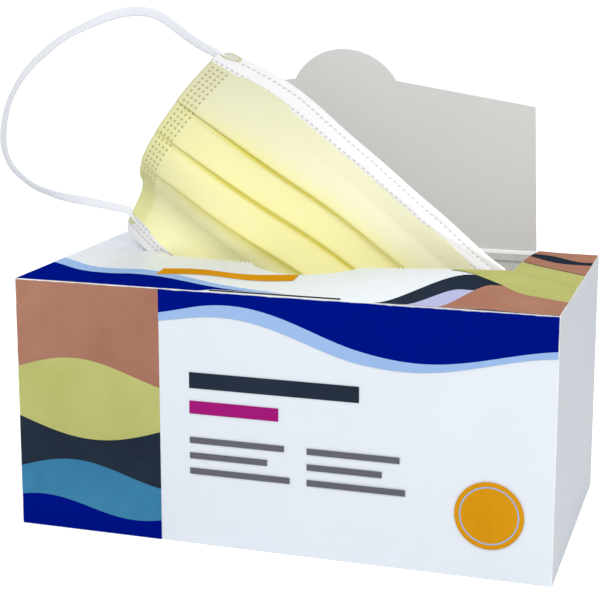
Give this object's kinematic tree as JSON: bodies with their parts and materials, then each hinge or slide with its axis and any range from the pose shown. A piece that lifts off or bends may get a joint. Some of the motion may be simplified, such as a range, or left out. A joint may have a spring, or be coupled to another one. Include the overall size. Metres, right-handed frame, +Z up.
{
  "type": "surgical face mask in dispenser box",
  "caption": "Pleated surgical face mask with elastic ear loops, drawn half out of the torn opening of the hinged-lid cardboard dispenser box that holds it.",
  "frame": {"origin": "centre of the carton's base, on the surface it stands on", "axes": "+Z up, -Y out of the carton's long front wall, +X towards the end where the mask enters the carton"},
  "size_m": [0.2261, 0.102, 0.1826],
  "materials": {
    "cloth": "matte nonwoven, pale yellow",
    "binding": "matte nonwoven, white",
    "elastic": "knitted flat elastic, white",
    "printed_board": "coated board, satin",
    "grey_board": "uncoated grey board inside, matte"
  },
  "bodies": {
    "dispenser": {"carton": "printed_board", "mask_panel": "cloth", "nose_binding": "binding", "chin_binding": "binding", "ear_loop_left": "elastic", "ear_loop_right": "elastic"},
    "lid_flap": {"lid": "grey_board"}
  },
  "joints": [
    {"name": "lid_hinge", "type": "hinge", "parent": "dispenser", "child": "lid_flap", "pos_m": [0, 0.051, 0.09], "axis": [-1, 0, 0], "range_deg": [-18, 120]}
  ]
}
